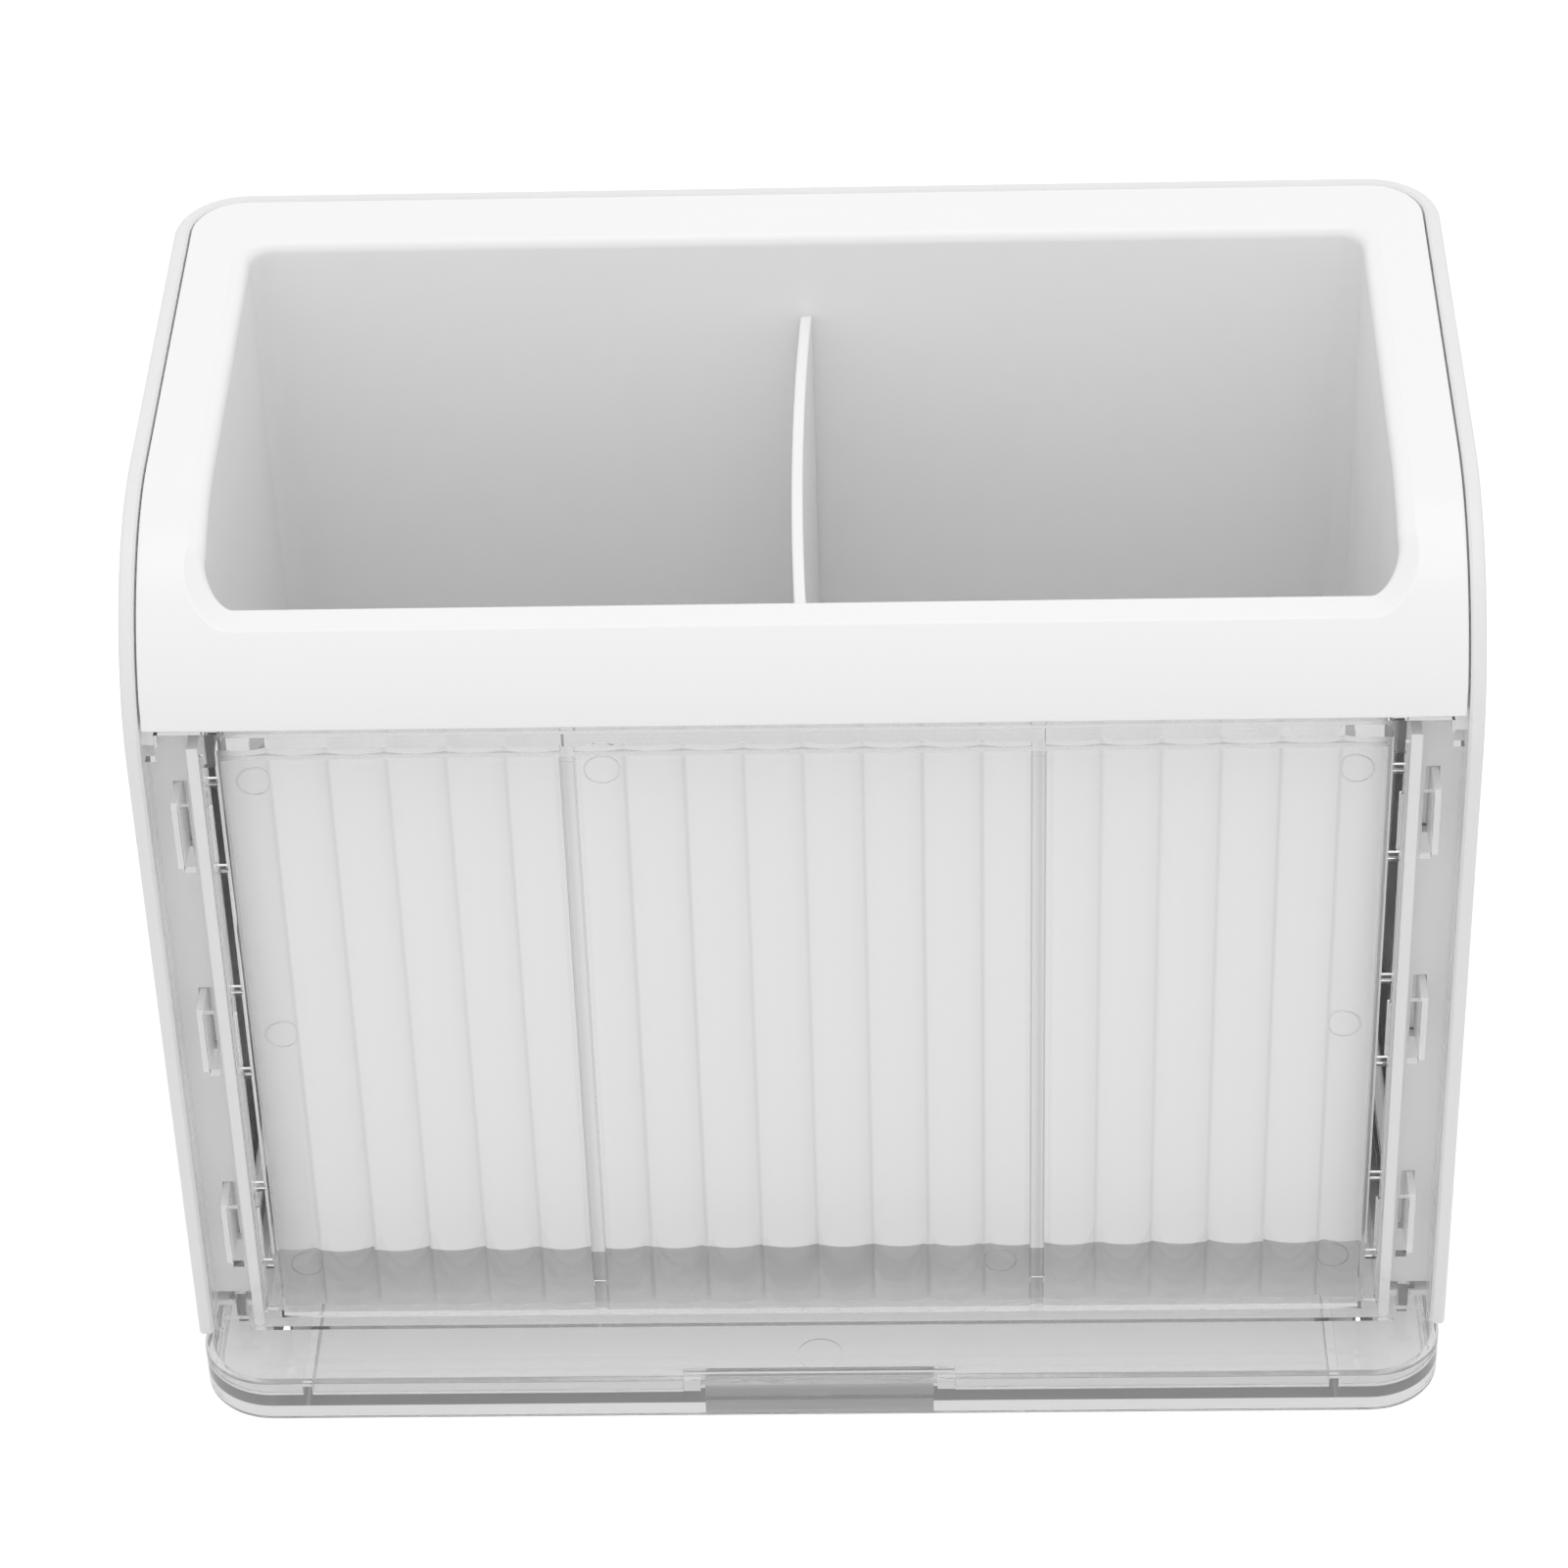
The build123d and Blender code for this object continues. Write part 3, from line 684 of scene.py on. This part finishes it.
def openingStations():  # right half of the opening's outline: place, outward way, and where the bezel's rim is
    look, steps = binLook, binLook["steps"]
    half, near, far = look["openHalf"], look["openFront"], look["openBack"]
    frontRound, backRound = look["frontRound"], look["backRound"]
    lowAlong = sideLook["browRadius"] * math.asin((look["lowest"] - browCentre[1]) / sideLook["browRadius"])
    stations = []
    for step in range(steps["front"] + 1):
        x = (half - frontRound) * step / steps["front"]
        stations.append(((x, near), (0, -1), ("front", x)))
    middle = (half - frontRound, near + frontRound)
    cornerAlong = alongAt(middle[1])
    corner = math.atan2(look["half"] - middle[0], cornerAlong - lowAlong)
    early, late, slack = steps["frontTurn"], steps["sideTurn"], 1e-6
    turns = [corner * step / early for step in range(1, early)] + [corner]
    turns += [corner + (math.pi / 2 - corner) * step / late for step in range(1, late + 1)]
    for turn in turns:
        way = (math.sin(turn), -math.cos(turn))
        spot = (middle[0] + frontRound * way[0], middle[1] + frontRound * way[1])
        if turn < corner - slack:
            rim = ("front", middle[0] + (cornerAlong - lowAlong) * math.tan(turn))
        elif turn < corner + slack:
            rim = ("corner", 0)
        else:
            rim = ("side", cornerAlong - (look["half"] - middle[0]) / math.tan(turn))
        stations.append((spot, way, rim))
    start, end, browStop = near + frontRound, far - backRound, browCentre[0]
    places = [start + (browStop - start) * step / steps["brow"] for step in range(1, steps["brow"] + 1)]
    places += [browStop + (end - browStop) * step / steps["slope"] for step in range(1, steps["slope"])]
    for y in places:
        stations.append(((half, y), (1, 0), ("side", alongAt(y))))
    for step in range(steps["backTurn"] + 1):
        turn = math.pi / 2 * step / steps["backTurn"]
        way = (math.cos(turn), math.sin(turn))
        spot = (half - backRound + backRound * way[0], far - backRound + backRound * way[1])
        stations.append((spot, way, ("arc", turn)))
    for step in range(1, steps["back"] + 1):
        share = 1 - step / steps["back"]
        rim = ("back", (look["half"] - look["cornerRound"]) * share)
        stations.append((((half - backRound) * share, far), (0, 1), rim))
    return stations, lowAlong


def rimSpot(rim, inset, lowAlong, depth=0.0):  # a place on the bezel's outline, moved in by inset
    look = binLook
    kind, value = rim
    half, low = look["half"] - inset, lowAlong + inset
    cornerY = look["back"] - look["cornerRound"]
    if kind == "front":
        return min(value, half), low, Vector((0, 0, -1))
    if kind == "corner":
        return half, low, Vector((0.7, 0, -0.7))
    if kind == "side":
        return half, max(value, low), Vector((1, 0, 0))
    if kind == "arc":
        x = look["half"] - look["cornerRound"] + (look["cornerRound"] - inset) * math.cos(value)
        y = cornerY + (look["cornerRound"] - inset) * math.sin(value)
        return x, alongAt(y, depth), Vector((math.cos(value), math.sin(value), 0))
    return value, alongAt(look["back"] - inset, depth), Vector((0, 1, 0))


def binSection(station, lowAlong):  # one cut through the moulding: up from the floor, over, down to the foot
    look, steps = binLook, binLook["steps"]
    (x, y), (nx, ny), rim = station
    way = Vector((nx, ny, 0))
    lean = math.tan(math.radians(look["draft"]))

    def wallPoint(outwards, z):
        return Vector((x, y, z)) + way * (outwards - max(look["collar"] - z, 0) * lean)

    def surfaceRow(first, last, count, depth=0.0):  # points over the bezel between two places on it
        spots = []
        for step in range(1, count):
            share = step / count
            across, along = (here + (there - here) * share for here, there in zip(first, last))
            spots.append(onSide(across, along, depth))
        return spots

    soft = look["floorRound"]
    points = arcBetween(wallPoint(-soft, look["floorTop"] + soft), (0, 0, -1), way, soft, steps["floor"])
    points.append(wallPoint(0, look["collar"]))
    crease, forward = look["creaseRound"], max(-ny, 0)
    lips = zip(look["sideLip"], look["frontLip"])
    lip, landOut, turn = (side + (front - side) * forward for side, front in lips)
    along = alongAt(y + landOut * ny, crease)
    heart = onSide(x + landOut * nx, along, crease)
    up = skyward(along)
    axis = up.cross(-way).normalized()
    tilted = Quaternion(axis, math.radians(turn)) @ up
    inwards = Quaternion(axis, math.pi / 2) @ tilted
    length = (landOut + (crease - lip) * tilted.dot(way) - lip) / -inwards.dot(way)
    lipHeart = heart + tilted * (crease - lip) + inwards * length
    points += arcBetween(lipHeart, -way, tilted, lip, steps["lip"])
    points += arcBetween(heart, tilted, up, crease, steps["crease"])
    edge = look["edgeRound"]
    rimX, rimAlong, rimWay = rimSpot(rim, edge, lowAlong)
    points += surfaceRow((heart.x, along), (rimX, rimAlong), steps["bezel"])
    points += arcBetween(onSide(rimX, rimAlong, edge), skyward(rimAlong), rimWay, edge, steps["edge"])
    thick, radius = look["thick"], sideLook["browRadius"]
    underLow = radius * math.asin((look["lowest"] - browCentre[1]) / (radius - thick))
    outX, outAlong = rimSpot(rim, 0, lowAlong, thick)[:2]
    outAlong = max(outAlong, underLow)
    points.append(onSide(outX, outAlong, thick))
    root = look["rootRound"]
    reach = look["wall"] + root
    rootAlong = alongAt(y + reach * ny, thick + root)
    rootCentre = onSide(x + reach * nx, rootAlong, thick + root)
    points += surfaceRow((outX, outAlong), (rootCentre.x, rootAlong), steps["under"], thick)
    points += arcBetween(rootCentre, skyward(rootAlong), -way, root, steps["root"])
    points.append(wallPoint(look["wall"], look["collar"]))
    foot = look["footBevel"]
    points.append(wallPoint(look["wall"], look["bottom"] + foot))
    points.append(wallPoint(look["wall"] - foot, look["bottom"]))
    return points


def mouldTub():
    stations, lowAlong = openingStations()
    sections = [binSection(station, lowAlong) for station in stations]
    sections += [[Vector((-p.x, p.y, p.z)) for p in section] for section in reversed(sections[1:-1])]
    return newPiece("tub", "binWhite", *lidShell([list(ring) for ring in zip(*sections)]))


def growDrains():  # three by three slots under each well
    look = binLook
    long, wide = look["drain"]
    outline = roundedOutline(rectangle((-long / 2, -wide / 2), (long / 2, wide / 2)), look["drainCorner"])
    drain = prism("drain", "binWhite", outline, 2, look["bottom"] - 1, look["floorTop"] + 1)
    (columns, rows), (pitchX, pitchY) = look["drainCount"], look["drainPitch"]
    first = (
        -look["openHalf"] / 2 - pitchX * (columns - 1) / 2,
        (look["openFront"] + look["openBack"]) / 2 - pitchY * (rows - 1) / 2, 0,
    )
    drains = repeatShape("drains", drain, whiteRow, (columns, rows, 1), (pitchX, pitchY, 1), first)
    return repeatShape("drainPair", drains, whiteRow, (2, 1, 1), (look["openHalf"], 1, 1))


def dividerGuides():  # upright ribs that hold the divider's ends
    look = binLook
    lean = math.tan(math.radians(look["draft"])) * (look["collar"] - look["floorTop"])
    wide, reach, tall = look["guide"]
    guides = []
    for side in (-1, 1):
        for end, inward in ((look["openFront"] + lean, 1), (look["openBack"] - lean, -1)):
            x = side * (look["guideGap"] + wide / 2)
            guides.append(makeBar(
                "guide", "binWhite", (x - wide / 2, end - inward * look["guideInto"], look["floorTop"] - 1),
                (x + wide / 2, end + inward * reach, look["floorTop"] + tall), look["guideRound"]))
    return guides


def mouldBin():
    tub = mouldTub()
    combine(tub, [growDrains()], "DIFFERENCE")
    whole = bundle("utensilBin", [tub] + dividerGuides())
    smoothShade(whole, binLook["smooth"])
    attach(whole, "bin")
    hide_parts("utensil_bin")
    print("bin moulded", len(whole.data.polygons))


mouldBin()


# divider: thin bowed plate
dividerLook = {
    "front": -39.8, "back": 52.0, "low": 20.4, "frontTop": 166.5, "backTop": 173.2, "thick": 2.1, "bow": 1.1,
    "cornerRound": 2.5, "edgeRound": 0.5, "edgeSteps": 4, "edgeAngle": 50, "draft": 0.6, "collar": 143.5,
    "bands": 24, "smooth": 40,
}


def shapeDivider():
    look = dividerLook
    lean = math.tan(math.radians(look["draft"]))

    def inset(z):
        return max(look["collar"] - z, 0) * lean

    corners = [
        (look["front"] + inset(look["low"]), look["low"]), (look["back"] - inset(look["low"]), look["low"]),
        (look["back"], look["backTop"]), (look["front"], look["frontTop"]),
    ]
    outline = roundedOutline(corners, look["cornerRound"])
    half = look["thick"] / 2
    plate = prism("dividerPlate", "dividerWhite", outline, 0, -half, half)
    shape = bmesh.new()
    shape.from_mesh(plate.data)
    for step in range(1, look["bands"]):
        y = look["front"] + (look["back"] - look["front"]) * step / look["bands"]
        bmesh.ops.bisect_plane(shape, geom=shape.verts[:] + shape.edges[:] + shape.faces[:],
                               plane_co=toMetres((0, y, 0)), plane_no=(0, 1, 0))
    shape.to_mesh(plate.data)
    shape.free()
    softenEdges(plate, look["edgeRound"], look["edgeSteps"], look["edgeAngle"])
    middle, reach = (look["front"] + look["back"]) / 2, (look["back"] - look["front"]) / 2
    for vertex in plate.data.vertices:
        share = (vertex.co.y * 1000 - middle) / reach
        vertex.co.x -= look["bow"] * 0.001 * (1 - share * share)
    smoothShade(plate, look["smooth"])
    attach(plate, "partition")
    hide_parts("divider")
    print("divider shaped", len(plate.data.polygons))


shapeDivider()


# front cover: reeded clear pane in a clear frame with slots, bridges, ribs and snap hooks
panelLook = {
    "half": 116.6, "low": 9.8, "high": 150.8, "front": -54.4, "back": -52.6,
    "windowHalf": 103.2, "windowLow": 13.5, "windowHigh": 145.2, "shelf": 1.4,
    "flutePitch": 10.6, "fluteDepth": 1.2, "crest": -52.0, "paneBack": -48.8, "fluteSteps": 16,
    "slotEdge": 1.0, "slotWidth": 2.2, "slotMargin": 1.5, "locatingWall": 0.7, "locatingBack": -51.6,
    "rib": (41.8, 2.7, -53.8, -49.8), "ribEnds": (20.0, 144.5), "tongue": (2.3, -54.1, 1.4, 0.7),
    "bridge": 1.2, "bridgeGap": 19.4, "bump": (0.7, 12.6),
    "hookHeights": (26.1, 73.3, 120.5), "hookTall": 14.6, "hookWindow": (109.8, 111.9), "hookArm": 1.3,
    "hookCatch": -43.75, "hookTip": -41.55, "seatGap": 0.3,
    "notch": (2.0, 5.7), "railCut": (110.2, 115.3, 12.7), "edgeRound": 0.22, "fineRound": 0.15,
    "rootInto": 0.05, "backEase": 0.01, "flatTurn": 0.002, "edgeSteps": 3, "smooth": 32,
    "cuts": {  # where the cutting shapes end, past the cover
        "ahead": -60, "frame": -50, "window": -52, "slot": -45, "aside": 120, "above": 155, "below": 5,
    },
}


def paneBar(name, low, high, soften=0.0):
    return makeBar(name, "panelClear", low, high, soften)


def frameBars():  # shelves, slot walls, ribs and their tongues, which the plate carries
    look = panelLook
    front, deep = look["front"], look["paneBack"]
    inner = look["windowHalf"] + look["slotEdge"]
    outer = inner + look["slotWidth"]
    paneLow, paneHigh = look["windowLow"] - look["shelf"], look["windowHigh"] + look["shelf"]
    bars = [
        paneBar("shelf", (-inner, front, paneLow), (inner, deep, look["windowLow"])),
        paneBar("shelf", (-inner, front, look["windowHigh"]), (inner, deep, paneHigh)),
    ]
    for side in (-1, 1):
        wall = outer + look["locatingWall"]
        bars.append(paneBar("slotWall", (side * look["windowHalf"], front, paneLow),
                            (side * inner, deep, paneHigh)))
        bars.append(paneBar("locatingWall", (side * outer, front, look["windowLow"]),
                            (side * wall, look["locatingBack"], look["windowHigh"])))
        place, wide, ribFront, ribBack = look["rib"]
        low, high = look["ribEnds"]
        bars.append(paneBar("rib", (side * place - wide / 2, ribFront, low),
                            (side * place + wide / 2, ribBack, high)))
        narrow, tongueFront, over, into = look["tongue"]
        lowTongue = (look["windowLow"] - into, low + over)
        highTongue = (look["windowHigh"] - over, look["windowHigh"] + into)
        for bottom, top in (lowTongue, highTongue):
            bars.append(paneBar("tongue", (side * place - narrow / 2, tongueFront, bottom),
                                (side * place + narrow / 2, ribBack, top)))
    return bars


def slotBars():  # bridges and bumps, set across the slots once these are cut
    look = panelLook
    inner = look["windowHalf"] + look["slotEdge"]
    outer = inner + look["slotWidth"]
    start, end = inner - look["slotEdge"] / 2, outer + look["locatingWall"] / 2
    front, back, thick, fine = (look[key] for key in ("front", "back", "bridge", "fineRound"))
    rise, tall = look["bump"]
    bars = []
    for side in (-1, 1):
        for z in look["hookHeights"]:
            for centre in (z, z + look["bridgeGap"]):
                bars.append(paneBar("bridge", (side * start, front, centre - thick / 2),
                                    (side * end, back, centre + thick / 2), fine))
            bars.append(paneBar("bump", (side * (outer - rise), front + rise, z + thick),
                                (side * end, back, z + thick + tall), fine))
    return bars


def snapHook(side, z):  # arm with a barb, hooked outwards
    look = panelLook
    start, end = look["hookWindow"]
    root, arm, gap = look["back"] - look["rootInto"], end + look["hookArm"], look["seatGap"]
    outline = [
        (side * end, root), (side * end, look["hookCatch"]), (side * (start + gap), look["hookCatch"]),
        (side * (end - gap), look["hookTip"]), (side * arm, look["hookTip"]), (side * arm, root),
    ]
    hook = prism("hook", "hookClear", outline, 2, z, z + look["hookTall"])
    return softenEdges(hook, look["fineRound"], look["edgeSteps"])


def cutCover():
    look, cut = panelLook, panelLook["cuts"]
    inner = look["windowHalf"] + look["slotEdge"]
    outer = inner + look["slotWidth"]
    half, ahead = look["half"], cut["ahead"]
    cover = paneBar("cover", (-half, look["front"], look["low"]), (half, look["back"], look["high"]))
    window = paneBar("window", (-look["windowHalf"], ahead, look["windowLow"]),
                     (look["windowHalf"], cut["frame"], look["windowHigh"]))
    combine(cover, [window], "DIFFERENCE")
    combine(cover, frameBars(), "UNION")
    start, end = look["hookWindow"]
    notchWide, notchTall = look["notch"]
    railStart, railEnd, railTop = look["railCut"]
    cuts = []
    for side in (-1, 1):
        cuts.append(paneBar("slot", (side * inner, ahead, look["windowLow"] + look["slotMargin"]),
                            (side * outer, cut["slot"], look["windowHigh"] - look["slotMargin"])))
        for z in look["hookHeights"]:
            cuts.append(paneBar("hookWindow", (side * start, ahead, z),
                                (side * end, cut["window"], z + look["hookTall"])))
        cuts.append(paneBar("notch", (side * (half - notchWide), ahead, look["high"] - notchTall),
                            (side * cut["aside"], cut["frame"], cut["above"])))
        cuts.append(paneBar("railCut", (side * railStart, ahead, cut["below"]),
                            (side * railEnd, cut["frame"], railTop)))
    combine(cover, cuts, "DIFFERENCE")
    softenEdges(cover, look["edgeRound"], look["edgeSteps"])
    return combine(cover, slotBars(), "UNION")


def reedPane():  # the fluted sheet, with ejector marks in its flat back
    look, marks = panelLook, ejectorMarks
    sizes = {
        "Half Width": look["windowHalf"] + look["slotEdge"] / 2,
        "Low": look["windowLow"] - look["shelf"] / 2, "High": look["windowHigh"] + look["shelf"] / 2,
        "Pitch": look["flutePitch"], "Valley": look["crest"] + look["fluteDepth"],
        "Depth": look["fluteDepth"], "Back": look["paneBack"] - look["backEase"],
    }
    pane = growPiece("pane", fluteRule(), {
        **{name: size * 0.001 for name, size in sizes.items()},
        "Columns": int(2 * look["windowHalf"] / look["flutePitch"] * look["fluteSteps"]),
    })
    shape = bmesh.new()
    shape.from_mesh(pane.data)
    bmesh.ops.dissolve_limit(shape, angle_limit=look["flatTurn"], verts=shape.verts, edges=shape.edges)
    shape.to_mesh(pane.data)
    shape.free()
    spots = [(side * x, z) for side in (-1, 1) for x, z in marks["pairs"]] + list(marks["odd"])
    deep, radius = look["paneBack"], marks["radius"]
    cuts = [disc("mark", "panelClear", (z, x), radius, 1, deep - marks["depth"], deep + 1) for x, z in spots]
    return combine(pane, cuts, "DIFFERENCE")


def buildCover():
    look = panelLook
    cover = cutCover()
    print("cover cut", len(cover.data.polygons))
    combine(cover, [reedPane()], "UNION")
    print("pane joined", len(cover.data.polygons))
    turnOutwards(cover)
    hooks = [snapHook(side, z) for side in (-1, 1) for z in look["hookHeights"]]
    cover = bundle("frontCover", [cover] + hooks)
    smoothShade(cover, look["smooth"])
    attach(cover, "shell")
    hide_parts("front_panel")
    print("cover built", len(cover.data.polygons))


buildCover()


# drip tray: shallow tray with a finger grip, two guide ribs and the rails it hangs on
trayLook = {
    "half": 118.8, "front": -68.999, "back": 68.7, "corner": 14.0, "rim": 9.2, "wall": 1.8,
    "floorTop": 4.6, "floorUnder": 2.6, "floorRound": 2.0, "rimRound": 0.5, "footRound": 0.4,
    "rib": (98.0, 1.8, 7.5, -68.1, 53.0),  # place, width, top, start, end
    "rail": (112.75, 2.0, 4.5, 1.3, 12.4, -46.0, 60.0),  # place, stem, head, head's height, top, start, end
    "grip": (45.2, 3.4, 1.8, 4.5, 8.0, 1.8),  # width, cheek, backing, low, high, depth
    "gateMark": (4.35, 0.15, -56.8), "edgeRound": 0.25, "smooth": 32,
    "turnSteps": 16, "edgeSteps": 4, "bendSteps": 6,
}


def trayRing(inset, height):  # the tray's outline, moved in and at one height
    look = trayLook
    radius = look["corner"] - inset
    ring = []
    for sideX, sideY, start in ((1, 1, 0), (-1, 1, 90), (-1, -1, 180), (1, -1, 270)):
        x = sideX * (look["half"] - look["corner"])
        y = look["back"] - look["corner"] if sideY > 0 else look["front"] + look["corner"]
        for step in range(look["turnSteps"] + 1):
            turn = math.radians(start + 90 * step / look["turnSteps"])
            ring.append(Vector((x + radius * math.cos(turn), y + radius * math.sin(turn), height)))
    return ring


def trayProfile():  # up the recess, round the foot and the rim, and down to the floor: inset and height
    look = trayLook
    wall, rim, foot, edge = (look[key] for key in ("wall", "rim", "footRound", "rimRound"))
    profile = [(wall, look["floorUnder"]), (wall, foot)]
    for centre, turns, radius in (
        ((wall - foot, foot), (0, -90), foot), ((foot, foot), (-90, -180), foot),
        ((edge, rim - edge), (180, 90), edge), ((wall - edge, rim - edge), (90, 0), edge),
    ):
        for step in range(look["edgeSteps"] + 1):
            turn = math.radians(turns[0] + (turns[1] - turns[0]) * step / look["edgeSteps"])
            profile.append((centre[0] + radius * math.cos(turn), centre[1] + radius * math.sin(turn)))
    bend = look["floorRound"]
    for step in range(look["bendSteps"] + 1):
        turn = math.radians(180 + 90 * step / look["bendSteps"])
        profile.append((wall + bend + bend * math.cos(turn), look["floorTop"] + bend + bend * math.sin(turn)))
    return profile


def shapeGrip(tray):
    look = trayLook
    front, wall, soft = look["front"], look["wall"], look["edgeRound"]
    width, cheek, backing, low, high, deep = look["grip"]
    reach = width / 2 + cheek
    behind = makeBar("backing", "trayClear", (-reach, front + wall / 2, look["floorUnder"]),
                     (reach, front + wall + backing, look["rim"]), soft)
    combine(tray, [behind], "UNION")
    slant = [(front - 2, low), (front, low), (front + deep, high), (front - 2, high)]
    combine(tray, [prism("grip", "trayClear", slant, 0, -width / 2, width / 2)], "DIFFERENCE")


def trayBars():  # guide ribs, and the T-shaped rails
    look = trayLook
    soft, under = look["edgeRound"], look["floorTop"] - 1
    ribX, ribWide, ribTop, ribStart, ribEnd = look["rib"]
    railX, stem, head, headTall, railTop, railStart, railEnd = look["rail"]
    bars = []
    for side in (-1, 1):
        bars.append(makeBar("rib", "trayClear", (side * ribX - ribWide / 2, ribStart, under),
                            (side * ribX + ribWide / 2, ribEnd, ribTop), soft))
        rail = makeBar("stem", "trayClear", (side * railX - stem / 2, railStart, under),
                       (side * railX + stem / 2, railEnd, railTop - headTall / 2))
        top = makeBar("head", "trayClear", (side * railX - head / 2, railStart, railTop - headTall),
                      (side * railX + head / 2, railEnd, railTop))
        bars.append(softenEdges(combine(rail, [top], "UNION"), soft))
    return bars


def buildTray():
    look = trayLook
    tray = newPiece("tray", "trayClear", *lidShell([trayRing(*spot) for spot in trayProfile()]))
    shapeGrip(tray)
    combine(tray, trayBars(), "UNION")
    radius, depth, y = look["gateMark"]
    gate = disc("mark", "trayClear", (0, y), radius, 2, look["floorTop"] - depth, look["floorTop"] + 1)
    combine(tray, [gate], "DIFFERENCE")
    tray.name = "dripTray"
    smoothShade(tray, look["smooth"])
    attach(tray, "tray")
    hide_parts("drip_tray")
    print("tray built", len(tray.data.polygons))


buildTray()


# housing: the CAD's own shape, in white
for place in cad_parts["housing"].material_slots:
    place.material = finishes["shellWhite"]
print("housing painted")
